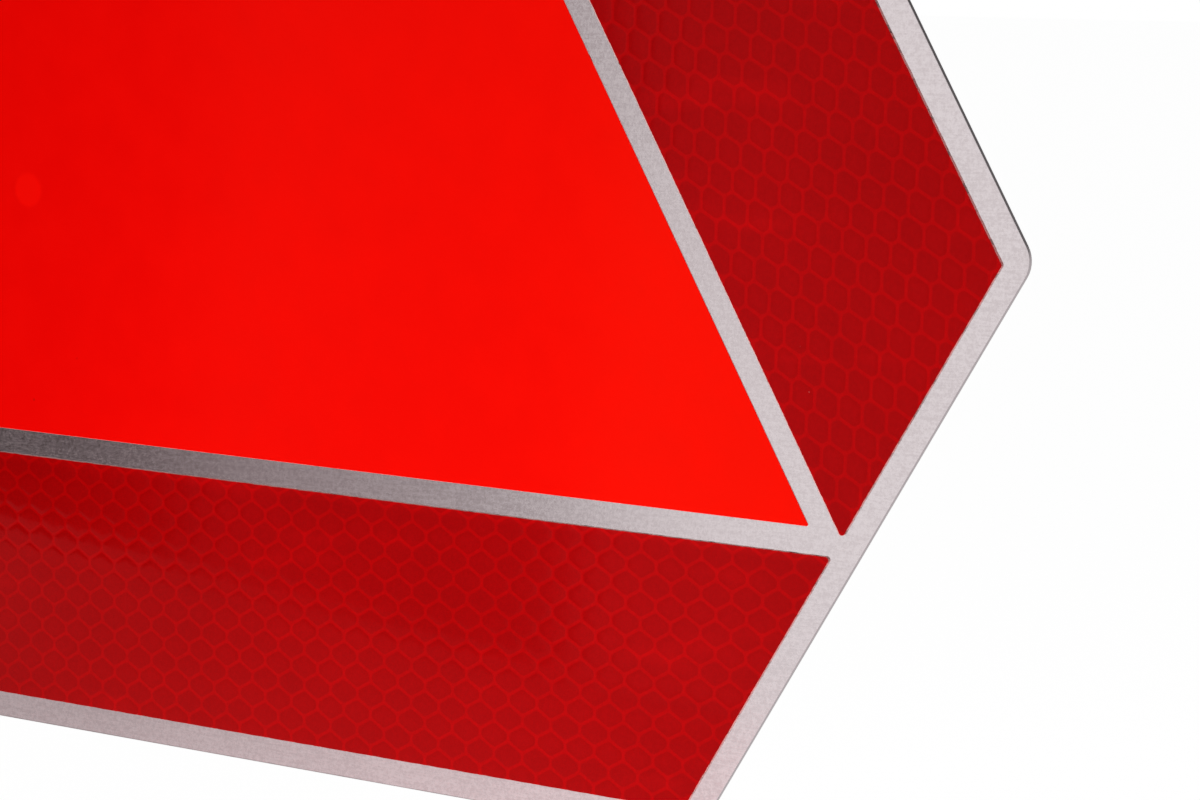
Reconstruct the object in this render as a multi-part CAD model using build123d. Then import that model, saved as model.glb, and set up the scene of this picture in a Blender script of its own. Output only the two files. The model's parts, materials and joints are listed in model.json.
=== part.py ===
from build123d import *
import os
from math import cos, radians, sin, sqrt

# Slow moving vehicle rear plate, in millimetres.
# A blanked aluminium sheet carries one fluorescent triangle of film and three retroreflective strips,
# all stuck on by their own adhesive. The plate stands upright, one point up, and faces -Y.
# The origin is on the sheet's flat back, level with the centre of the triangle.

# Fluorescent triangle, equilateral
triangle_side_length = 360.0
triangle_film_thickness = 0.15
triangle_corner_radius = 0.3

# Retroreflective strips, one along each side of the triangle, with bare metal between
gap = 4.6
strip_width = 46.5
strip_end_reach = 6.0
strip_thickness = 0.4
strip_corner_radius = 0.6

# Aluminium sheet
margin = 4.9
corner_cut_reach = 10.2
sheet_thickness = 0.8
sheet_corner_radius = 5.0
rolled_edge_radius = 0.12

# Fixing holes, punched in the sheet alone and hidden in front by the triangle's film
hole_diameter = 6.4
hole_spacing = 30.0
hole_height = 101.4

# Turn of each strip's side from the lower side, in degrees
strip_turns = {
    "bottom_reflective_strip": 0,
    "right_reflective_strip": 120,
    "left_reflective_strip": 240,
}

# Distances from the centre, worked out from the sizes above
triangle_side_reach = triangle_side_length / (2 * sqrt(3))
triangle_point_reach = triangle_side_length / sqrt(3)
strip_inner_reach = triangle_side_reach + gap
strip_outer_reach = strip_inner_reach + strip_width
strip_cut_reach = triangle_point_reach + strip_end_reach
sheet_side_reach = strip_outer_reach + margin
sheet_cut_reach = triangle_point_reach + corner_cut_reach


def outline(edges, corner_radius):
    """Flat face bounded by straight edges, each an outward angle and a distance from the centre."""
    corners = []
    for (angle_a, reach_a), (angle_b, reach_b) in zip(edges, edges[1:] + edges[:1]):
        a = radians(angle_a)
        b = radians(angle_b)
        x = (reach_a * sin(b) - reach_b * sin(a)) / sin(b - a)
        y = (reach_b * cos(a) - reach_a * cos(b)) / sin(b - a)
        corners.append((x, y))
    face = make_face(Polyline(*corners, close=True))
    return fillet(face.vertices(), corner_radius)


def upright(face, back, thickness):
    """Stand a flat face up at a distance in front of the sheet's back, and thicken it forwards."""
    return extrude(Plane.XZ.offset(back) * face, thickness)


def sheet():
    """Blank with three long sides, a straight cut across each point, and a rolled front edge."""
    edges = [
        (270, sheet_side_reach),
        (330, sheet_cut_reach),
        (30, sheet_side_reach),
        (90, sheet_cut_reach),
        (150, sheet_side_reach),
        (210, sheet_cut_reach),
    ]
    blank = upright(outline(edges, sheet_corner_radius), 0, sheet_thickness)
    front = blank.faces().sort_by(Axis.Y)[0]
    blank = fillet(front.edges(), rolled_edge_radius)
    hole_z = hole_height - sheet_side_reach
    for hole_x in (-hole_spacing / 2, hole_spacing / 2):
        blank -= upright(Pos(hole_x, hole_z) * Circle(hole_diameter / 2), 0, sheet_thickness)
    return blank


def triangle_film():
    """Translucent fluorescent film, a whole triangle in the middle of the sheet."""
    edges = [(270, triangle_side_reach), (30, triangle_side_reach), (150, triangle_side_reach)]
    face = outline(edges, triangle_corner_radius)
    return upright(face, sheet_thickness, triangle_film_thickness)


def strip_film(turn):
    """Retroreflective strip whose ends are cut in line with the sheet's cut points."""
    edges = [
        (270, strip_outer_reach),
        (330, strip_cut_reach),
        (90, -strip_inner_reach),
        (210, strip_cut_reach),
    ]
    face = Rot(0, 0, turn) * outline(edges, strip_corner_radius)
    return upright(face, sheet_thickness, strip_thickness)


os.makedirs("parts", exist_ok=True)
export_step(sheet(), "parts/aluminium_sheet.step")
export_step(triangle_film(), "parts/fluorescent_triangle.step")
for name, turn in strip_turns.items():
    export_step(strip_film(turn), f"parts/{name}.step")
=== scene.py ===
import json
from math import atan2, cos, hypot, pi, radians, sin
from random import Random

import bmesh
import bpy
from mathutils import Matrix, Quaternion, Vector


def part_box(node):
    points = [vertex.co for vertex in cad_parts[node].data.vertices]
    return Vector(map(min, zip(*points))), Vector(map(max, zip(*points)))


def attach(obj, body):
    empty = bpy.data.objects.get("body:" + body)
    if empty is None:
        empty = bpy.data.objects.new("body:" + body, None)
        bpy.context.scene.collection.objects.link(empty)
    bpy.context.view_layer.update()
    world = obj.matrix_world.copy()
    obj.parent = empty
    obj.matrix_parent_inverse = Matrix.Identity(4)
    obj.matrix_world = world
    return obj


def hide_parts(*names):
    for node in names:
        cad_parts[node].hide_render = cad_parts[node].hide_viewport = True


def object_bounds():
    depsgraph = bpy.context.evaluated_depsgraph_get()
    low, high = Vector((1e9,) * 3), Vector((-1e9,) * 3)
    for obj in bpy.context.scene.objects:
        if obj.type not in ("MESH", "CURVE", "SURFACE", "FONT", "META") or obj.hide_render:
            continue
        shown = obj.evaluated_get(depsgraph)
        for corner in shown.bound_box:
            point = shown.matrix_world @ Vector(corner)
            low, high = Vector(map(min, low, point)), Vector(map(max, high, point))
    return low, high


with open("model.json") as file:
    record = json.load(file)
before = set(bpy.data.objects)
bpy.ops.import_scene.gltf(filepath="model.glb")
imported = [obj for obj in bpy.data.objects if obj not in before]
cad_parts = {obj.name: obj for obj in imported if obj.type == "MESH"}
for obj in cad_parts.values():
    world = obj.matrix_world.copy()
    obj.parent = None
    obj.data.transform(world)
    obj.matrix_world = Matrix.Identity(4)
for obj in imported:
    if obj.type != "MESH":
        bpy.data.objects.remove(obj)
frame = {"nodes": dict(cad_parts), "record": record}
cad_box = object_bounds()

# Aluminium sheet: the flat plate that carries the films.
# Blanked in one stroke from rolled sheet, so its faces keep the fine lines of the rolls and its edge
# shows the dull band where the punch sheared it. It is left bare, with handling marks.
METAL_COLOUR = "#E7DDDF"
METAL_DARK_COLOUR = "#D7CCCE"
METAL_MARK_COLOUR = "#8F8588"
METAL_NICK_COLOUR = "#FBF7F8"
SHEARED_COLOUR = "#B2A8AA"
# Colour of the painted shade along the lower edge.
FOOT_SHADE_COLOUR = "#2E2929"
METAL_ROUGHNESS = (0.11, 0.147)
SHEARED_ROUGHNESS = 0.42
ROLL_LINE_MM = (3.5, 0.3)
GRAIN_MM = 0.9
GRAIN_SHARE = 0.75
SMUDGE_MM = 22.0
SMUDGE_SHARE = 0.12
METAL_TONE_RANGE = (0.44, 0.56)
RELIEF_STRENGTH = 0.05
RELIEF_MM = 0.2
SCRATCH_CELL_MM = (46.0, 9.0)
SCRATCH_TURN = 4.0
SPECK_CELL_MM = 7.0
SCRATCHES = ("Red", 0.55, 0.026, 0.7, METAL_MARK_COLOUR)
SPECKS = ("Red", 0.5, 0.06, 0.75, METAL_MARK_COLOUR)
NICKS = ("Green", 0.6, 0.05, 0.5, METAL_NICK_COLOUR)
FOOT_SHADE_MM = 3.0
FOOT_SHADE_TOP_MM = (0.25, 0.1)
SHEARED_FROM_FRONT_MM = (0.001, 0.006)
SHEARED_FROM_BACK_MM = (0.01, 0.03)


def colour(code):
    """An sRGB hex value as a linear colour."""
    channels = [int(code[i:i + 2], 16) / 255 for i in (1, 3, 5)]
    linear = [c / 12.92 if c <= 0.04045 else ((c + 0.055) / 1.055) ** 2.4 for c in channels]
    return (*linear, 1.0)


def per_metre(size_mm):
    """How often a pattern of that size repeats in a metre, the unit of Object coordinates."""
    return 1000.0 / size_mm


def node(tree, kind, inputs=None, **settings):
    """Adds one node with its settings, and feeds its inputs with values or other nodes' outputs."""
    made = tree.nodes.new(kind)
    for name, value in settings.items():
        setattr(made, name, value)
    for key, value in (inputs or {}).items():
        if isinstance(value, bpy.types.NodeSocket):
            tree.links.new(value, made.inputs[key])
        else:
            made.inputs[key].default_value = value
    return made


def new_material(name):
    """A material with an empty node tree, and that tree."""
    made = bpy.data.materials.new(name)
    made.use_nodes = True
    made.node_tree.nodes.clear()
    return made, made.node_tree


def with_marks(tree, surface, cells, marks):
    """Scatters small marks over a surface colour, each kind in only some of the pattern's cells.

    A mark is given as the channel of chance that picks its cells, the share of them it leaves out, its
    greatest reach as a share of a cell, its strength and its colour.
    """
    chances = node(tree, "ShaderNodeSeparateColor", {"Color": cells.outputs["Color"]}).outputs
    for channel, left_out, reach, strength, mark_colour in marks:
        size = node(tree, "ShaderNodeMapRange", {
            "Value": chances[channel],
            "From Min": left_out,
            "From Max": 1.0,
            "To Max": reach,
        }).outputs["Result"]
        inside = node(tree, "ShaderNodeMath", {
            0: size,
            1: cells.outputs["Distance"],
        }, operation="SUBTRACT").outputs[0]
        mark = node(tree, "ShaderNodeMapRange", {
            "Value": inside,
            "From Max": reach / 2,
            "To Max": strength,
        }).outputs["Result"]
        surface = node(tree, "ShaderNodeMix", {
            "Factor": mark,
            6: surface,
            7: colour(mark_colour),
        }, data_type="RGBA").outputs[2]
    return surface


# Cold-rolled mill finish: a soft mirror with a cloudy grain of every size down to the finest, and faint
# rolling lines across the plate. They are really about 0.05 mm apart, too fine for a picture, and are
# drawn wider.
mill_finish, tree = new_material("mill_finish_aluminium")
place = node(tree, "ShaderNodeTexCoord").outputs["Object"]
along, across = ROLL_LINE_MM
stretched = node(tree, "ShaderNodeMapping", {
    "Vector": place,
    "Scale": (per_metre(along), per_metre(across), per_metre(across)),
}).outputs["Vector"]
roll_lines = node(tree, "ShaderNodeTexNoise", {
    "Vector": stretched,
    "Scale": 1.0,
    "Detail": 3.0,
}).outputs["Fac"]
clouds = node(tree, "ShaderNodeTexNoise", {
    "Vector": place,
    "Scale": per_metre(GRAIN_MM),
    "Detail": 4.0,
    "Roughness": 0.9,
}).outputs["Fac"]
smudges = node(tree, "ShaderNodeTexNoise", {
    "Vector": place,
    "Scale": per_metre(SMUDGE_MM),
    "Detail": 3.0,
}).outputs["Fac"]
grain = node(tree, "ShaderNodeMix", {"Factor": GRAIN_SHARE, 2: roll_lines, 3: clouds}).outputs[0]
handled = node(tree, "ShaderNodeMix", {"Factor": SMUDGE_SHARE, 2: grain, 3: smudges}).outputs[0]
tone = node(tree, "ShaderNodeMapRange", {
    "Value": handled,
    "From Min": METAL_TONE_RANGE[0],
    "From Max": METAL_TONE_RANGE[1],
}).outputs["Result"]
face_colour = node(tree, "ShaderNodeMix", {
    "Factor": tone,
    6: colour(METAL_DARK_COLOUR),
    7: colour(METAL_COLOUR),
}, data_type="RGBA").outputs[2]

# Short scratches from stacking, single specks of dirt and bright nicks.
length, width = SCRATCH_CELL_MM
scratch_place = node(tree, "ShaderNodeMapping", {
    "Vector": place,
    "Rotation": (0.0, radians(SCRATCH_TURN), 0.0),
    "Scale": (per_metre(length), per_metre(width), per_metre(width)),
}).outputs["Vector"]
scratch_cells = node(tree, "ShaderNodeTexVoronoi", {"Vector": scratch_place, "Scale": 1.0})
speck_cells = node(tree, "ShaderNodeTexVoronoi", {"Vector": place, "Scale": per_metre(SPECK_CELL_MM)})
face_colour = with_marks(tree, face_colour, scratch_cells, [SCRATCHES])
face_colour = with_marks(tree, face_colour, speck_cells, [SPECKS, NICKS])

# A broken line of painted shade runs along the lower edge.
sheet_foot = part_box("aluminium_sheet")[0].z
parts = node(tree, "ShaderNodeSeparateXYZ", {"Vector": place}).outputs
at_foot = node(tree, "ShaderNodeMapRange", {
    "Value": parts["Z"],
    "From Min": sheet_foot + FOOT_SHADE_TOP_MM[0] / 1000,
    "From Max": sheet_foot + FOOT_SHADE_TOP_MM[1] / 1000,
}).outputs["Result"]
broken = node(tree, "ShaderNodeTexNoise", {
    "Vector": place,
    "Scale": per_metre(FOOT_SHADE_MM),
}).outputs["Fac"]
dark_share = node(tree, "ShaderNodeMath", {0: at_foot, 1: broken}, operation="MULTIPLY").outputs[0]
face_colour = node(tree, "ShaderNodeMix", {
    "Factor": dark_share,
    6: face_colour,
    7: colour(FOOT_SHADE_COLOUR),
}, data_type="RGBA").outputs[2]

# The sheared edge lies between the front and the back, so depth alone tells it apart.
sheet_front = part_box("aluminium_sheet")[0].y
behind_front = node(tree, "ShaderNodeMapRange", {
    "Value": parts["Y"],
    "From Min": sheet_front + SHEARED_FROM_FRONT_MM[0] / 1000,
    "From Max": sheet_front + SHEARED_FROM_FRONT_MM[1] / 1000,
}).outputs["Result"]
before_back = node(tree, "ShaderNodeMapRange", {
    "Value": parts["Y"],
    "From Min": -SHEARED_FROM_BACK_MM[0] / 1000,
    "From Max": -SHEARED_FROM_BACK_MM[1] / 1000,
}).outputs["Result"]
sheared = node(tree, "ShaderNodeMath", {
    0: behind_front,
    1: before_back,
}, operation="MULTIPLY").outputs[0]
metal_colour = node(tree, "ShaderNodeMix", {
    "Factor": sheared,
    6: face_colour,
    7: colour(SHEARED_COLOUR),
}, data_type="RGBA").outputs[2]
face_roughness = node(tree, "ShaderNodeMix", {
    "Factor": tone,
    2: METAL_ROUGHNESS[0],
    3: METAL_ROUGHNESS[1],
}).outputs[0]
metal_roughness = node(tree, "ShaderNodeMix", {
    "Factor": sheared,
    2: face_roughness,
    3: SHEARED_ROUGHNESS,
}).outputs[0]
relief = node(tree, "ShaderNodeBump", {
    "Height": grain,
    "Strength": RELIEF_STRENGTH,
    "Distance": RELIEF_MM / 1000,
}).outputs["Normal"]
metal = node(tree, "ShaderNodeBsdfPrincipled", {
    "Base Color": metal_colour,
    "Metallic": 1.0,
    "Roughness": metal_roughness,
    "Normal": relief,
})
node(tree, "ShaderNodeOutputMaterial", {"Surface": metal.outputs["BSDF"]})
sheet = frame["nodes"]["aluminium_sheet"]
for slot in sheet.material_slots:
    slot.material = mill_finish


# Fluorescent triangle: one piece of smooth cast vinyl, dyed with a fluorescent red and cut to a plain
# triangle. It is stuck on by its own adhesive, straight over the punched fixing holes, and shows a
# little lighter there, because the light comes through it; that light is painted into its colour. Its
# adhesive has crept out along the edge.
FLUORESCENT_COLOUR = "#F60401"
FLUORESCENT_DEEP_COLOUR = "#F00301"
FLUORESCENT_SHEEN_COLOUR = "#FF5A12"
HOLE_LIGHT_COLOUR = "#FF0A03"
DUST_COLOUR = "#FF8068"
DIRT_COLOUR = "#A8120A"
# Strength of the painted glow that stands in for the dye's own red light.
FLUORESCENT_PAINTED_GLOW = 0.04
FILM_IOR = 1.5
FILM_ROUGHNESS = (0.06, 0.10)
MOST_OF_NOISE = (0.35, 0.65)
FILM_CLOUD_MM = 9.0
FILM_CLOUD_SHARE = 0.4
FILM_WASH_MM = 80.0
FILM_TONE_RANGE = (0.38, 0.62)
HOLE_EDGE_MM = (0.4, -0.6)
HOLE_LIGHT_STRENGTH = 0.75
DUST_CELL_MM = 15.0
DUST = ("Red", 0.68, 0.028, 0.6, DUST_COLOUR)
DIRT = ("Green", 0.68, 0.028, 0.6, DIRT_COLOUR)
CUT_EDGE_MM = 0.03
MERGE_DISTANCE = 1e-6
PLACE_DIGITS = 7
FILM_SLOT = 0
ADHESIVE_SLOT = 1
# The bead's pale colour is a painted glint.
ADHESIVE_GLINT_COLOUR = "#DDB3B0"
ADHESIVE_ROUGHNESS = 0.25
ADHESIVE_DIRT_COLOUR = "#6E5148"
ADHESIVE_DIRT_MM = 2.5
ADHESIVE_DIRT_RANGE = (0.62, 0.7)
ADHESIVE_CREEP_MM = 0.05
ADHESIVE_HEIGHT_MM = 0.05

# Clear acrylic adhesive: a low bead drawn as a pale line beside each film, its paleness a painted glint,
# with dirt stuck in it here and there.
adhesive, tree = new_material("acrylic_adhesive")
place = node(tree, "ShaderNodeTexCoord").outputs["Object"]
dirt = node(tree, "ShaderNodeTexNoise", {
    "Vector": place,
    "Scale": per_metre(ADHESIVE_DIRT_MM),
    "Detail": 2.0,
}).outputs["Fac"]
dark_share = node(tree, "ShaderNodeMapRange", {
    "Value": dirt,
    "From Min": ADHESIVE_DIRT_RANGE[0],
    "From Max": ADHESIVE_DIRT_RANGE[1],
}).outputs["Result"]
bead_colour = node(tree, "ShaderNodeMix", {
    "Factor": dark_share,
    6: colour(ADHESIVE_GLINT_COLOUR),
    7: colour(ADHESIVE_DIRT_COLOUR),
}, data_type="RGBA").outputs[2]
bead = node(tree, "ShaderNodeBsdfPrincipled", {
    "Base Color": bead_colour,
    "Roughness": ADHESIVE_ROUGHNESS,
})
node(tree, "ShaderNodeOutputMaterial", {"Surface": bead.outputs["BSDF"]})

# Cast fluorescent vinyl: a flat, glassy red brighter than paint, because the dye adds red light of its
# own, drawn as a painted glow that shines the same whatever the lamps do. So full a red hides the white
# in its reflections, which is why they are tinted.
fluorescent, tree = new_material("cast_fluorescent_vinyl")
place = node(tree, "ShaderNodeTexCoord").outputs["Object"]
clouds = node(tree, "ShaderNodeTexNoise", {
    "Vector": place,
    "Scale": per_metre(FILM_CLOUD_MM),
    "Detail": 3.0,
}).outputs["Fac"]
wash = node(tree, "ShaderNodeTexNoise", {
    "Vector": place,
    "Scale": per_metre(FILM_WASH_MM),
    "Detail": 1.0,
}).outputs["Fac"]
unevenness = node(tree, "ShaderNodeMix", {"Factor": FILM_CLOUD_SHARE, 2: wash, 3: clouds}).outputs[0]
tone = node(tree, "ShaderNodeMapRange", {
    "Value": unevenness,
    "From Min": FILM_TONE_RANGE[0],
    "From Max": FILM_TONE_RANGE[1],
}).outputs["Result"]
film_colour = node(tree, "ShaderNodeMix", {
    "Factor": tone,
    6: colour(FLUORESCENT_DEEP_COLOUR),
    7: colour(FLUORESCENT_COLOUR),
}, data_type="RGBA").outputs[2]

# Both fixing holes are found by folding the plate at its middle line. The painted light over a hole
# fades out from a little inside its edge to a little outside it.
holes = next(m for m in frame["record"]["mounts"] if m["kind"] == "bolt_pattern")
hole_radius = holes["dims"]["hole_r_mm"] / 1000
hole_place = (holes["dims"]["spacing_x_mm"] / 2000, 0.0, holes["pos_m"][2])
folded = node(tree, "ShaderNodeVectorMath", {0: place}, operation="ABSOLUTE").outputs[0]
sideways = node(tree, "ShaderNodeSeparateXYZ", {"Vector": folded}).outputs["X"]
upwards = node(tree, "ShaderNodeSeparateXYZ", {"Vector": place}).outputs["Z"]
flat_place = node(tree, "ShaderNodeCombineXYZ", {"X": sideways, "Z": upwards}).outputs["Vector"]
from_hole = node(tree, "ShaderNodeVectorMath", {
    0: flat_place,
    1: hole_place,
}, operation="DISTANCE").outputs["Value"]
painted_hole_light = node(tree, "ShaderNodeMapRange", {
    "Value": from_hole,
    "From Min": hole_radius + HOLE_EDGE_MM[0] / 1000,
    "From Max": hole_radius + HOLE_EDGE_MM[1] / 1000,
    "To Max": HOLE_LIGHT_STRENGTH,
}, interpolation_type="SMOOTHSTEP").outputs["Result"]
film_colour = node(tree, "ShaderNodeMix", {
    "Factor": painted_hole_light,
    6: film_colour,
    7: colour(HOLE_LIGHT_COLOUR),
}, data_type="RGBA").outputs[2]

# Single specks of pale dust and dark dirt.
dust_cells = node(tree, "ShaderNodeTexVoronoi", {"Vector": place, "Scale": per_metre(DUST_CELL_MM)})
film_colour = with_marks(tree, film_colour, dust_cells, [DUST, DIRT])
film_roughness = node(tree, "ShaderNodeMapRange", {
    "Value": clouds,
    "From Min": MOST_OF_NOISE[0],
    "From Max": MOST_OF_NOISE[1],
    "To Min": FILM_ROUGHNESS[0],
    "To Max": FILM_ROUGHNESS[1],
}).outputs["Result"]
vinyl = node(tree, "ShaderNodeBsdfPrincipled", {
    "Base Color": film_colour,
    "Roughness": film_roughness,
    "IOR": FILM_IOR,
    "Specular Tint": colour(FLUORESCENT_SHEEN_COLOUR),
    "Emission Color": colour(FLUORESCENT_COLOUR),
    "Emission Strength": FLUORESCENT_PAINTED_GLOW,
})
node(tree, "ShaderNodeOutputMaterial", {"Surface": vinyl.outputs["BSDF"]})


def middle_of(corners):
    """The middle of a set of corners on X and Z."""
    return sum(x for x, z in corners) / len(corners), sum(z for x, z in corners) / len(corners)


def cut_outline(name):
    """Corners of a film's front face in the CAD model, in order round it, in metres on X and Z.

    The model's triangles are loose, so the corners that several of them share are rounded into one.
    """
    vertices = frame["nodes"][name].data.vertices
    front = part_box(name)[0].y
    face = [v.co for v in vertices if v.co.y < front + MERGE_DISTANCE]
    corners = {(round(place.x, PLACE_DIGITS), round(place.z, PLACE_DIGITS)) for place in face}
    middle_x, middle_z = middle_of(corners)
    return sorted(corners, key=lambda c: atan2(c[1] - middle_z, c[0] - middle_x))


def moved_out(corners, distance):
    """A ring of points on X and Z, in order, each moved away from the inside of the ring."""
    moved = []
    for before, (x, z), after in zip(corners[-1:] + corners[:-1], corners, corners[1:] + corners[:1]):
        run_x, run_z = after[0] - before[0], after[1] - before[1]
        run = hypot(run_x, run_z)
        moved.append((x + distance * run_z / run, z - distance * run_x / run))
    return moved


def close_film(bm, front, sheet_face, creep, inner_creep):
    """Carries the rim of a film's face down to the sheet, adds the crept adhesive, and closes the back.

    The inner creep is for the sides that face the middle of the plate.
    """
    rim_edges = [e for e in bm.edges if e.is_boundary]
    beside = {}
    for edge in rim_edges:
        edge.smooth = False
        for a, b in (edge.verts, reversed(edge.verts)):
            beside.setdefault(a, []).append(b)
    ring = [rim_edges[0].verts[0], rim_edges[0].verts[1]]
    while len(ring) < len(beside):
        ring.append(next(v for v in beside[ring[-1]] if v is not ring[-2]))
    turning = sum(a.co.x * b.co.z - b.co.x * a.co.z for a, b in zip(ring, ring[1:] + ring[:1]))
    if turning < 0:
        ring.reverse()
    rim = [(v.co.x, v.co.z) for v in ring]
    edge = CUT_EDGE_MM / 1000
    cut = moved_out(rim, edge)
    outwards = moved_out(rim, edge + creep / 1000)
    inwards = moved_out(rim, edge + inner_creep / 1000)
    crept = [b if hypot(*b) < hypot(*c) else a for a, b, c in zip(outwards, inwards, cut)]
    for places, y, slot in (
        (cut, front + edge, FILM_SLOT),
        (cut, sheet_face - ADHESIVE_HEIGHT_MM / 1000, FILM_SLOT),
        (crept, sheet_face, ADHESIVE_SLOT),
    ):
        lower = [bm.verts.new((x, max(y, v.co.y), z), v) for v, (x, z) in zip(ring, places)]
        for a, b, c, d in zip(ring, ring[1:] + ring[:1], lower[1:] + lower[:1], lower):
            bm.faces.new((a, b, c, d)).material_index = slot
        ring = lower
    bm.faces.new(ring)
    bmesh.ops.recalc_face_normals(bm, faces=bm.faces)


def film_piece(name, bm, *materials):
    """Turns a closed film into the piece that stands for its CAD node."""
    mesh = bpy.data.meshes.new(name + "_film")
    bm.to_mesh(mesh)
    bm.free()
    for material in materials:
        mesh.materials.append(material)
    piece = bpy.data.objects.new(name + "_film", mesh)
    bpy.context.scene.collection.objects.link(piece)
    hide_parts(name)
    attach(piece, "root")
    return piece


bm = bmesh.new()
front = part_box("fluorescent_triangle")[0].y
for x, z in moved_out(cut_outline("fluorescent_triangle"), -CUT_EDGE_MM / 1000):
    bm.verts.new((x, front, z))
bm.faces.new(bm.verts)
close_film(bm, front, sheet_front, ADHESIVE_CREEP_MM, ADHESIVE_CREEP_MM)
triangle = film_piece("fluorescent_triangle", bm, fluorescent, adhesive)


# Three retroreflective strips: red prismatic tape, one along each side of the triangle.
# Its clear face film is welded to the prisms' backing in a honeycomb net, so that each cell is sealed
# by itself. The strips are cut straight through the cells from one roll, at no set place in its pattern.
CELL_PITCH_MM = 5.822
ROW_SPACING_MM = 3.335
SHORT_SIDE_MM = 1.6
WELD_WIDTH_MM = 0.38
WELD_WALL_MM = 0.2
WELD_DEPTH_MM = 0.004
CELL_CORNER_MM = (0.2, 0.36)
CELL_CROWN_MM = 0.003
CROWN_STEP = 0.5
SPARE_CELLS = 2
STRIP_STARTS_MM = {
    "bottom_reflective_strip": (0.1, 130.7),
    "right_reflective_strip": (-0.5, 130.0),
    "left_reflective_strip": (1.4, 131.3),
}
INNER_CREEP_MM = {
    "bottom_reflective_strip": 0.08,
    "right_reflective_strip": 0.35,
    "left_reflective_strip": 0.3,
}
RAGGED_MM = 0.07
RAGGED_SHARE = 0.15
RAGGED_SEED = 7
SMOOTH_ANGLE = 3.0
CUT_TOLERANCE = 1e-7
CELL_RIM_COLOUR = "#9C0102"
CELL_CORE_COLOUR = "#A00204"
WELD_COLOUR = "#B00103"
# The cut walls' pale colour is partly their own and partly painted light.
CUT_TAPE_AND_LIGHT_COLOUR = "#FF9A96"
CUT_DARK_COLOUR = "#7C322E"
CUT_DARK_MM = 1.6
CUT_DARK_RANGE = (0.55, 0.62)
CUT_FROM_FRONT_MM = (0.01, 0.04)
TAPE_DUST_COLOUR = "#D68A84"
TAPE_DUST_CELL_MM = 9.0
TAPE_DUST = ("Red", 0.6, 0.03, 0.5, TAPE_DUST_COLOUR)
TAPE_SHEEN_COLOUR = "#FF4348"
TAPE_ROUGHNESS = 0.05
TAPE_STRENGTH = (0.92, 1.06)
PRISM_MM = 0.7
TAPE_WASH_MM = 40.0
TAPE_WASH_SHARE = 0.5
ROW_TONE = 0.5
CELL_STRENGTH = 0.035
TONE_SEED = 11
RUB_MM = (26.0, 6.0)
RUB_TURN = -52.0
RUB_RANGE = (0.6, 0.75)
RUB_STRENGTH = 0.12
# A painted highlight along the lower strip's upper edge.
EDGE_HIGHLIGHT_MM = 1.6
EDGE_HIGHLIGHT_STRENGTH = 0.16
EDGE_HIGHLIGHT_MARGIN_MM = 0.1

# Prismatic tape: deep red cells that send light back to the lamp and so look dark from the side, in a
# net of brighter welds, all under one clear face. The prisms are really 0.2 mm, and are drawn coarser.
prismatic, tree = new_material("prismatic_tape")
place = node(tree, "ShaderNodeTexCoord").outputs["Object"]
weld = node(tree, "ShaderNodeAttribute", attribute_name="weld").outputs["Fac"]
core = node(tree, "ShaderNodeAttribute", attribute_name="core").outputs["Fac"]
cell_tone = node(tree, "ShaderNodeAttribute", attribute_name="tone").outputs["Fac"]
rim = node(tree, "ShaderNodeMath", {0: 1.0, 1: core}, operation="SUBTRACT").outputs[0]
darkened = node(tree, "ShaderNodeMath", {0: rim, 1: cell_tone}, operation="MULTIPLY").outputs[0]
prisms = node(tree, "ShaderNodeTexNoise", {
    "Vector": place,
    "Scale": per_metre(PRISM_MM),
    "Detail": 2.0,
}).outputs["Fac"]
wash = node(tree, "ShaderNodeTexNoise", {
    "Vector": place,
    "Scale": per_metre(TAPE_WASH_MM),
    "Detail": 2.0,
}).outputs["Fac"]
cell_colour = node(tree, "ShaderNodeMix", {
    "Factor": darkened,
    6: colour(CELL_CORE_COLOUR),
    7: colour(CELL_RIM_COLOUR),
}, data_type="RGBA").outputs[2]
net_colour = node(tree, "ShaderNodeMix", {
    "Factor": weld,
    6: cell_colour,
    7: colour(WELD_COLOUR),
}, data_type="RGBA").outputs[2]
unevenness = node(tree, "ShaderNodeMix", {"Factor": TAPE_WASH_SHARE, 2: prisms, 3: wash}).outputs[0]
strength = node(tree, "ShaderNodeMapRange", {
    "Value": unevenness,
    "From Min": MOST_OF_NOISE[0],
    "From Max": MOST_OF_NOISE[1],
    "To Min": TAPE_STRENGTH[0],
    "To Max": TAPE_STRENGTH[1],
}).outputs["Result"]

# Broad rub marks run aslant over it, a little brighter than the rest.
length, width = RUB_MM
rub_place = node(tree, "ShaderNodeMapping", {
    "Vector": place,
    "Rotation": (0.0, radians(RUB_TURN), 0.0),
    "Scale": (per_metre(length), per_metre(width), per_metre(width)),
}).outputs["Vector"]
rubs = node(tree, "ShaderNodeTexNoise", {"Vector": rub_place, "Scale": 1.0, "Detail": 1.0}).outputs["Fac"]
rubbed = node(tree, "ShaderNodeMapRange", {
    "Value": rubs,
    "From Min": RUB_RANGE[0],
    "From Max": RUB_RANGE[1],
    "To Max": RUB_STRENGTH,
}).outputs["Result"]
cell_strength = node(tree, "ShaderNodeMapRange", {
    "Value": cell_tone,
    "To Min": -CELL_STRENGTH,
    "To Max": CELL_STRENGTH,
}).outputs["Result"]

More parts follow.
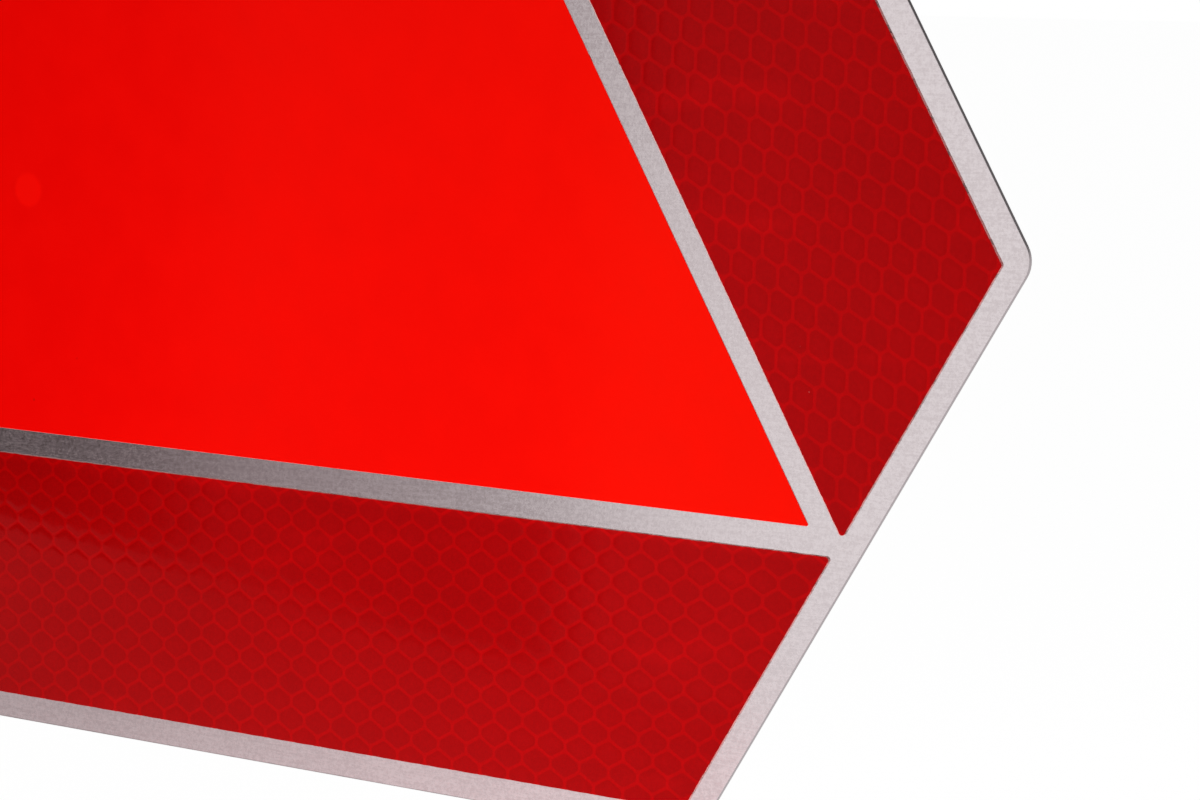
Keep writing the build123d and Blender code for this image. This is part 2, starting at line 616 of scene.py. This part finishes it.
# A painted highlight runs as a brighter line along the lower strip's upper edge. The line
# is told from the other two strips by its height, because both lie above it.
parts = node(tree, "ShaderNodeSeparateXYZ", {"Vector": place}).outputs
strip_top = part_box("bottom_reflective_strip")[1].z
near_edge = node(tree, "ShaderNodeMapRange", {
    "Value": parts["Z"],
    "From Min": strip_top - EDGE_HIGHLIGHT_MM / 1000,
    "From Max": strip_top,
    "To Max": EDGE_HIGHLIGHT_STRENGTH,
}).outputs["Result"]
on_strip = node(tree, "ShaderNodeMath", {
    0: parts["Z"],
    1: strip_top + EDGE_HIGHLIGHT_MARGIN_MM / 1000,
}, operation="LESS_THAN").outputs[0]
painted_highlight = node(tree, "ShaderNodeMath", {0: near_edge, 1: on_strip}, operation="MULTIPLY").outputs[0]
for added in (rubbed, cell_strength, painted_highlight):
    strength = node(tree, "ShaderNodeMath", {0: strength, 1: added}, operation="ADD").outputs[0]
tape_colour = node(tree, "ShaderNodeVectorMath", {
    0: net_colour,
    "Scale": strength,
}, operation="SCALE").outputs[0]
tape_dust = node(tree, "ShaderNodeTexVoronoi", {"Vector": place, "Scale": per_metre(TAPE_DUST_CELL_MM)})
tape_colour = with_marks(tree, tape_colour, tape_dust, [TAPE_DUST])

# The clear layers of the tape show paler where it is cut through, partly by their own paleness and
# partly by painted light, with darker patches here and there.
tape_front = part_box("bottom_reflective_strip")[0].y
cut_through = node(tree, "ShaderNodeMapRange", {
    "Value": parts["Y"],
    "From Min": tape_front + CUT_FROM_FRONT_MM[0] / 1000,
    "From Max": tape_front + CUT_FROM_FRONT_MM[1] / 1000,
}).outputs["Result"]
dark_patches = node(tree, "ShaderNodeTexNoise", {
    "Vector": place,
    "Scale": per_metre(CUT_DARK_MM),
    "Detail": 2.0,
}).outputs["Fac"]
dark_share = node(tree, "ShaderNodeMapRange", {
    "Value": dark_patches,
    "From Min": CUT_DARK_RANGE[0],
    "From Max": CUT_DARK_RANGE[1],
}).outputs["Result"]
cut_colour = node(tree, "ShaderNodeMix", {
    "Factor": dark_share,
    6: colour(CUT_TAPE_AND_LIGHT_COLOUR),
    7: colour(CUT_DARK_COLOUR),
}, data_type="RGBA").outputs[2]
tape_colour = node(tree, "ShaderNodeMix", {
    "Factor": cut_through,
    6: tape_colour,
    7: cut_colour,
}, data_type="RGBA").outputs[2]
face_film = node(tree, "ShaderNodeBsdfPrincipled", {
    "Base Color": tape_colour,
    "Roughness": TAPE_ROUGHNESS,
    "IOR": FILM_IOR,
    "Specular Tint": colour(TAPE_SHEEN_COLOUR),
})
node(tree, "ShaderNodeOutputMaterial", {"Surface": face_film.outputs["BSDF"]})


def cell_ring(inset, corner):
    """The long cell drawn in by an inset, in order, on X and Z; a corner over 0 cuts its points off."""
    half_pitch = CELL_PITCH_MM / 2
    half_side = SHORT_SIDE_MM / 2
    point = ROW_SPACING_MM - half_side
    slant = atan2(point - half_side, half_pitch)
    side_x = half_pitch - inset
    tip = point - inset / cos(slant)
    shoulder = tip - side_x * sin(slant) / cos(slant)
    turns = [(side_x, -shoulder), (side_x, shoulder), (0.0, tip)]
    turns += [(-x, -z) for x, z in turns]
    if not corner:
        return turns
    ring = []
    for before, (x, z), after in zip(turns[-1:] + turns[:-1], turns, turns[1:] + turns[:1]):
        for other in (before, after):
            share = corner / hypot(other[0] - x, other[1] - z)
            ring.append((x + share * (other[0] - x), z + share * (other[1] - z)))
    return ring


# One cell of the tape's face: half the weld round it, the small step up, and a faintly crowned window,
# whose drop grows with the square of the way out, as on any shallow dome.
bm = bmesh.new()
weld_layer = bm.verts.layers.float.new("weld")
core_layer = bm.verts.layers.float.new("core")
foot = WELD_WIDTH_MM / 2
crown = foot + WELD_WALL_MM
foot_corner, crown_corner = CELL_CORNER_MM
levels = [(0.0, 0.0, 0.0, 1.0), (foot, foot_corner, 0.0, 1.0), (crown, crown_corner, 1.0, 0.0)]
rings = []
for inset, corner, lifted, welded in levels:
    y = CELL_CROWN_MM + (1.0 - lifted) * WELD_DEPTH_MM
    ring = [bm.verts.new((x / 1000, y / 1000, z / 1000)) for x, z in cell_ring(inset, corner)]
    for vert in ring:
        vert[weld_layer] = welded
    rings.append(ring)
window = []
window_drop = CELL_CROWN_MM * CROWN_STEP ** 2 / 1000
for vert in rings[2]:
    window.append(bm.verts.new((vert.co.x * CROWN_STEP, window_drop, vert.co.z * CROWN_STEP)))
rings.append(window)
centre = bm.verts.new((0.0, 0.0, 0.0))
for vert in (*window, centre):
    vert[core_layer] = 1.0
around = len(window)
for i, vert in enumerate(rings[0]):
    following = rings[0][(i + 1) % len(rings[0])]
    bm.faces.new((vert, rings[1][2 * i], rings[1][2 * i + 1]))
    bm.faces.new((vert, rings[1][2 * i + 1], rings[1][(2 * i + 2) % around], following))
for outer, inner in (rings[1:3], rings[2:4]):
    for i in range(around):
        bm.faces.new((outer[i], inner[i], inner[(i + 1) % around], outer[(i + 1) % around]))
for i in range(around):
    bm.faces.new((window[i], centre, window[(i + 1) % around]))
cell_mesh = bpy.data.meshes.new("tape_cell")
bm.to_mesh(cell_mesh)
bm.free()
cell = bpy.data.objects.new("tape_cell", cell_mesh)
bpy.context.scene.collection.objects.link(cell)

# The tape itself: cells in rows, every other row half a pitch along. A cell's tone is set half by the
# way its row's prisms point and half by chance.
tape = bpy.data.node_groups.new("prismatic_tape", "GeometryNodeTree")
tape.interface.new_socket("Tape", in_out="OUTPUT", socket_type="NodeSocketGeometry")
tape_inputs = {}
for name, kind in (
    ("Cell", "NodeSocketObject"),
    ("Pitch", "NodeSocketFloat"),
    ("Row spacing", "NodeSocketFloat"),
    ("Cells in a row", "NodeSocketInt"),
    ("Rows", "NodeSocketInt"),
    ("Seed", "NodeSocketInt"),
    ("Material", "NodeSocketMaterial"),
):
    tape_inputs[name] = tape.interface.new_socket(name, in_out="INPUT", socket_type=kind).identifier
given = node(tape, "NodeGroupInput").outputs
index = node(tape, "GeometryNodeInputIndex").outputs[0]
row = node(tape, "ShaderNodeMath", {0: index, 1: given["Cells in a row"]}, operation="DIVIDE").outputs[0]
row = node(tape, "ShaderNodeMath", {0: row}, operation="FLOOR").outputs[0]
before_row = node(tape, "ShaderNodeMath", {
    0: row,
    1: given["Cells in a row"],
}, operation="MULTIPLY").outputs[0]
column = node(tape, "ShaderNodeMath", {0: index, 1: before_row}, operation="SUBTRACT").outputs[0]
odd = node(tape, "ShaderNodeMath", {0: row, 1: 2.0}, operation="MODULO").outputs[0]
column = node(tape, "ShaderNodeMath", {0: odd, 1: 0.5, 2: column}, operation="MULTIPLY_ADD").outputs[0]
along = node(tape, "ShaderNodeMath", {0: column, 1: given["Pitch"]}, operation="MULTIPLY").outputs[0]
up = node(tape, "ShaderNodeMath", {0: row, 1: given["Row spacing"]}, operation="MULTIPLY").outputs[0]
cell_place = node(tape, "ShaderNodeCombineXYZ", {"X": along, "Z": up}).outputs["Vector"]
count = node(tape, "ShaderNodeMath", {
    0: given["Cells in a row"],
    1: given["Rows"],
}, operation="MULTIPLY").outputs[0]
places = node(tape, "GeometryNodePoints", {"Count": count, "Position": cell_place}).outputs[0]
chance = node(tape, "FunctionNodeRandomValue", {
    2: 0.0,
    3: 1.0 - ROW_TONE,
    "Seed": given["Seed"],
}, data_type="FLOAT").outputs[1]
row_tone = node(tape, "ShaderNodeMath", {
    0: odd,
    1: ROW_TONE,
    2: chance,
}, operation="MULTIPLY_ADD").outputs[0]
toned = node(tape, "GeometryNodeStoreNamedAttribute", {
    "Geometry": places,
    "Name": "tone",
    "Value": row_tone,
}, data_type="FLOAT", domain="POINT").outputs["Geometry"]
one_cell = node(tape, "GeometryNodeObjectInfo", {"Object": given["Cell"]}).outputs["Geometry"]
cells = node(tape, "GeometryNodeInstanceOnPoints", {"Points": toned, "Instance": one_cell}).outputs[0]
real = node(tape, "GeometryNodeRealizeInstances", {"Geometry": cells}).outputs[0]
surfaced = node(tape, "GeometryNodeSetMaterial", {
    "Geometry": real,
    "Material": given["Material"],
}).outputs[0]
node(tape, "NodeGroupOutput", {"Tape": surfaced})

# Each strip starts as a roll that is a few cells longer and wider, and is cut down to its outline with
# a faintly ragged edge. The spare rows below it are even in number, so the stagger stays.
ragged = Random(RAGGED_SEED)
for number, (name, (start_along, start_out)) in enumerate(STRIP_STARTS_MM.items()):
    low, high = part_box(name)
    outline = cut_outline(name)
    middle_x, middle_z = middle_of(outline)
    turn = atan2(middle_z, middle_x) + pi / 2
    level = [(x * cos(turn) + z * sin(turn), z * cos(turn) - x * sin(turn)) for x, z in outline]
    left, right = min(x for x, z in level), max(x for x, z in level)
    bottom, top = min(z for x, z in level), max(z for x, z in level)
    pitch, spacing = CELL_PITCH_MM / 1000, ROW_SPACING_MM / 1000
    first_column = int((left - start_along / 1000) / pitch) - SPARE_CELLS
    first_row = 2 * int((bottom + start_out / 1000) / spacing / 2) - SPARE_CELLS
    roll = bpy.data.objects.new("tape_roll", bpy.data.meshes.new("tape_roll"))
    bpy.context.scene.collection.objects.link(roll)
    maker = roll.modifiers.new("cells", "NODES")
    maker.node_group = tape
    for key, value in {
        "Cell": cell,
        "Pitch": pitch,
        "Row spacing": spacing,
        "Cells in a row": int((right - left) / pitch) + 2 * SPARE_CELLS + 1,
        "Rows": int((top - bottom) / spacing) + 2 * SPARE_CELLS + 2,
        "Seed": TONE_SEED + number,
        "Material": prismatic,
    }.items():
        maker[tape_inputs[key]] = value
    evaluated = roll.evaluated_get(bpy.context.evaluated_depsgraph_get())
    printed = bpy.data.meshes.new_from_object(evaluated)
    bpy.data.objects.remove(roll)
    bm = bmesh.new()
    bm.from_mesh(printed)
    bpy.data.meshes.remove(printed)
    bmesh.ops.remove_doubles(bm, verts=bm.verts, dist=MERGE_DISTANCE)
    start = (start_along / 1000 + first_column * pitch, low.y, first_row * spacing - start_out / 1000)
    bm.transform(Matrix.Rotation(-turn, 4, "Y") @ Matrix.Translation(start))
    cut = moved_out(outline, -CUT_EDGE_MM / 1000)
    for (x, z), (next_x, next_z) in zip(cut, cut[1:] + cut[:1]):
        outwards = Vector((next_z - z, 0.0, x - next_x))
        if outwards.length < CUT_TOLERANCE:
            continue
        plane = Vector((x, 0.0, z))
        faces = [f for f in bm.faces if any((v.co - plane).dot(outwards) > 0.0 for v in f.verts)]
        touched = dict.fromkeys(part for f in faces for part in (*f.edges, *f.verts))
        divided = bmesh.ops.bisect_plane(
            bm,
            geom=faces + list(touched),
            dist=CUT_TOLERANCE,
            plane_co=plane,
            plane_no=outwards.normalized(),
            clear_outer=True,
        )
        for vert in divided["geom_cut"]:
            if isinstance(vert, bmesh.types.BMVert):
                room = RAGGED_SHARE * min(e.calc_length() for e in vert.link_edges)
                vert.co -= outwards.normalized() * min(room, ragged.uniform(0.0, RAGGED_MM / 1000))
    for face in bm.faces:
        face.smooth = True
        face.material_index = FILM_SLOT
    for edge in bm.edges:
        edge.smooth = not edge.is_manifold or edge.calc_face_angle() < radians(SMOOTH_ANGLE)
    close_film(bm, low.y, sheet_front, ADHESIVE_CREEP_MM, INNER_CREEP_MM[name])
    strip = film_piece(name, bm, prismatic, adhesive)
bpy.data.objects.remove(cell)


# Studio: a white table under the plate, a white surround, one large soft box to the right and a small
# fill low in front. The table ends about half a metre in front of the plate, with a dark screen beyond
# it on the left. The metal and the glossy films show both, with a blush where the plate's red falls.
WHITE = "#FFFFFF"
TABLE_DROP_MM = 100.0
TABLE_FRONT_MM = ((-489.0, -566.0), (-377.0, -530.0))
TABLE_REACH_MM = 7000.0
AMBIENT = 0.23
MIRRORED_SIDE = (
    (-0.85, 0.55),
    (-0.71, 0.05),
    (-0.65, 0.05),
    (-0.632, 0.085),
    (-0.616, 0.15),
    (-0.602, 0.36),
    (-0.57, 0.355),
    (-0.534, 0.4),
    (-0.52, 0.43),
    (-0.507, 0.84),
    (-0.49, 0.88),
    (-0.47, 0.93),
    (-0.44, 0.91),
    (-0.41, 0.88),
)
ABOVE_RANGE = (0.35, 0.05)
ABOVE_LIGHT = 0.08
BLUSH_COLOUR = "#FFE7EA"
BLUSH_SIDE_RANGE = (-0.48, -0.62)
BLUSH_FRONT_RANGE = (0.0, -0.3)
TABLE_COLOUR = "#C4C4C4"
TABLE_LIGHT = 0.55
TABLE_SEEN_LIGHT = 0.86
TABLE_MIRRORED_MM = (-270.0, -40.0)
TABLE_MIRRORED_LIGHT = (0.36, 0.77)
TABLE_BLUSH_COLOUR = "#FFEFF0"
TABLE_BLUSH_SIDE_MM = (200.0, 0.0)
TABLE_BLUSH_FRONT_MM = (0.0, -100.0)
SOFT_BOX_PLACE_MM = (620.0, -920.0, 220.0)
SOFT_BOX_SIZE_MM = 900.0
SOFT_BOX_WATTS = 1.8
FILL_PLACE_MM = (140.0, -270.0, -165.0)
FILL_SIZE_MM = 180.0
FILL_WATTS = 0.51
LAMP_AIM_MM = (120.0, 0.0, -80.0)

world = bpy.data.worlds.new("studio")
world.use_nodes = True
tree = world.node_tree
tree.nodes.clear()
ray = node(tree, "ShaderNodeLightPath").outputs
direction = node(tree, "ShaderNodeTexCoord").outputs["Generated"]
parts = node(tree, "ShaderNodeSeparateXYZ", {"Vector": direction}).outputs

# Seen in the metal, the surround is dark where the screen stands, far to the left, and grows brighter to
# its right in steps, from one white panel to the next. A pair is a sideways direction and its brightness.
side_low, side_high = MIRRORED_SIDE[0][0], MIRRORED_SIDE[-1][0]
sideways = node(tree, "ShaderNodeMapRange", {
    "Value": parts["X"],
    "From Min": side_low,
    "From Max": side_high,
}).outputs["Result"]
beside = node(tree, "ShaderNodeFloatCurve", {"Value": sideways})
curve = beside.mapping.curves[0]
for number, (side, brightness) in enumerate(MIRRORED_SIDE):
    spot = ((side - side_low) / (side_high - side_low), brightness)
    if number < 2:
        curve.points[number].location = spot
    else:
        curve.points.new(*spot)
for point in curve.points:
    point.handle_type = "VECTOR"
beside.mapping.update()
beside = beside.outputs["Value"]
from_above = node(tree, "ShaderNodeMapRange", {
    "Value": parts["Z"],
    "From Min": ABOVE_RANGE[0],
    "From Max": ABOVE_RANGE[1],
    "To Min": ABOVE_LIGHT,
}).outputs["Result"]
mirrored = node(tree, "ShaderNodeMath", {0: beside, 1: from_above}, operation="MULTIPLY").outputs[0]
lighting = node(tree, "ShaderNodeMix", {
    "Factor": ray["Is Glossy Ray"],
    2: AMBIENT,
    3: mirrored,
}).outputs[0]
seen = node(tree, "ShaderNodeMath", {
    0: ray["Is Camera Ray"],
    1: ray["Is Transmission Ray"],
}, operation="MAXIMUM").outputs[0]
strength = node(tree, "ShaderNodeMix", {"Factor": seen, 2: lighting, 3: 1.0}).outputs[0]
reddened = node(tree, "ShaderNodeMapRange", {
    "Value": parts["X"],
    "From Min": BLUSH_SIDE_RANGE[0],
    "From Max": BLUSH_SIDE_RANGE[1],
}).outputs["Result"]
before_plate = node(tree, "ShaderNodeMapRange", {
    "Value": parts["Y"],
    "From Min": BLUSH_FRONT_RANGE[0],
    "From Max": BLUSH_FRONT_RANGE[1],
}).outputs["Result"]
blush = ray["Is Glossy Ray"]
for share in (reddened, before_plate):
    blush = node(tree, "ShaderNodeMath", {0: blush, 1: share}, operation="MULTIPLY").outputs[0]
surround = node(tree, "ShaderNodeMix", {
    "Factor": blush,
    6: colour(WHITE),
    7: colour(BLUSH_COLOUR),
}, data_type="RGBA").outputs[2]
white = node(tree, "ShaderNodeBackground", {"Color": surround, "Strength": strength})
node(tree, "ShaderNodeOutputWorld", {"Surface": white.outputs["Background"]})
bpy.context.scene.world = world

# White laminate: seen itself it is as white as the surround, apart from the plate's soft shadow, and
# in the metal it grows brighter towards the soft box.
laminate, tree = new_material("white_laminate")
ray = node(tree, "ShaderNodeLightPath").outputs
place = node(tree, "ShaderNodeTexCoord").outputs["Object"]
parts = node(tree, "ShaderNodeSeparateXYZ", {"Vector": place}).outputs
mirrored = node(tree, "ShaderNodeMapRange", {
    "Value": parts["X"],
    "From Min": TABLE_MIRRORED_MM[0] / 1000,
    "From Max": TABLE_MIRRORED_MM[1] / 1000,
    "To Min": TABLE_MIRRORED_LIGHT[0],
    "To Max": TABLE_MIRRORED_LIGHT[1],
}).outputs["Result"]
under_plate = node(tree, "ShaderNodeMapRange", {
    "Value": parts["X"],
    "From Min": TABLE_BLUSH_SIDE_MM[0] / 1000,
    "From Max": TABLE_BLUSH_SIDE_MM[1] / 1000,
}).outputs["Result"]
before_plate = node(tree, "ShaderNodeMapRange", {
    "Value": parts["Y"],
    "From Min": TABLE_BLUSH_FRONT_MM[0] / 1000,
    "From Max": TABLE_BLUSH_FRONT_MM[1] / 1000,
}).outputs["Result"]
seen = node(tree, "ShaderNodeMath", {
    0: ray["Is Camera Ray"],
    1: ray["Is Transmission Ray"],
}, operation="MAXIMUM").outputs[0]
glowing = node(tree, "ShaderNodeMix", {
    "Factor": ray["Is Glossy Ray"],
    2: TABLE_LIGHT,
    3: mirrored,
}).outputs[0]
strength = node(tree, "ShaderNodeMix", {"Factor": seen, 2: glowing, 3: TABLE_SEEN_LIGHT}).outputs[0]
blush = node(tree, "ShaderNodeMath", {0: 1.0, 1: seen}, operation="SUBTRACT").outputs[0]
for share in (under_plate, before_plate):
    blush = node(tree, "ShaderNodeMath", {0: blush, 1: share}, operation="MULTIPLY").outputs[0]
shade = node(tree, "ShaderNodeMix", {
    "Factor": blush,
    6: colour(WHITE),
    7: colour(TABLE_BLUSH_COLOUR),
}, data_type="RGBA").outputs[2]
own = node(tree, "ShaderNodeEmission", {"Color": shade, "Strength": strength})
lit = node(tree, "ShaderNodeBsdfDiffuse", {"Color": colour(TABLE_COLOUR)})
both = node(tree, "ShaderNodeAddShader", {0: own.outputs["Emission"], 1: lit.outputs["BSDF"]})
node(tree, "ShaderNodeOutputMaterial", {"Surface": both.outputs["Shader"]})

(left_x, left_y), (right_x, right_y) = TABLE_FRONT_MM
edge_run = Vector((right_x - left_x, right_y - left_y)).normalized()
edge_back = Vector((-edge_run.y, edge_run.x))
table_corner = Vector((left_x, left_y)) / 1000
table_z = cad_box[0].z - TABLE_DROP_MM / 1000
bm = bmesh.new()
for run, back in ((-1.0, 0.0), (1.0, 0.0), (1.0, 1.0), (-1.0, 1.0)):
    spot = table_corner + (edge_run * run + edge_back * back) * TABLE_REACH_MM / 1000
    bm.verts.new((spot.x, spot.y, table_z))
bm.faces.new(bm.verts)
mesh = bpy.data.meshes.new("table")
bm.to_mesh(mesh)
bm.free()
mesh.materials.append(laminate)
table = bpy.data.objects.new("table", mesh)
bpy.context.scene.collection.objects.link(table)

# Neither lamp shows in the picture itself, and the small one doesn't show in the reflections either.
for name, place, size, watts in (
    ("soft_box", SOFT_BOX_PLACE_MM, SOFT_BOX_SIZE_MM, SOFT_BOX_WATTS),
    ("low_fill", FILL_PLACE_MM, FILL_SIZE_MM, FILL_WATTS),
):
    light = bpy.data.lights.new(name, "AREA")
    light.shape = "SQUARE"
    light.size = size / 1000
    light.energy = watts
    lamp = bpy.data.objects.new(name, light)
    lamp.location = Vector(place) / 1000
    lamp.rotation_mode = "QUATERNION"
    lamp.rotation_quaternion = (Vector(LAMP_AIM_MM) - Vector(place)).to_track_quat("-Z", "Y")
    lamp.visible_camera = False
    lamp.visible_glossy = name == "soft_box"
    bpy.context.scene.collection.objects.link(lamp)


# Camera: half a metre in front of the plate and well to its right, level with the middle of the
# triangle, with a long lens that takes in the lower right corner alone.
CAMERA_PLACE_MM = (433.02, -485.25, -1.40)
CAMERA_AIM_MM = (139.76, -0.80, -86.72)
CAMERA_ROLL = 0.836
CAMERA_LENS_MM = 102.08
CAMERA_SENSOR_MM = 36.0
CAMERA_NEAR_MM = 10.0

camera_data = bpy.data.cameras.new("camera")
camera_data.sensor_width = CAMERA_SENSOR_MM
camera_data.lens = CAMERA_LENS_MM
camera_data.clip_start = CAMERA_NEAR_MM / 1000
camera = bpy.data.objects.new("camera", camera_data)
camera.location = Vector(CAMERA_PLACE_MM) / 1000
aim = (Vector(CAMERA_AIM_MM) - Vector(CAMERA_PLACE_MM)).to_track_quat("-Z", "Y")
camera.rotation_mode = "QUATERNION"
camera.rotation_quaternion = aim @ Quaternion((0.0, 0.0, 1.0), radians(CAMERA_ROLL))
bpy.context.scene.collection.objects.link(camera)
bpy.context.scene.camera = camera
bpy.context.scene.view_settings.view_transform = "Standard"
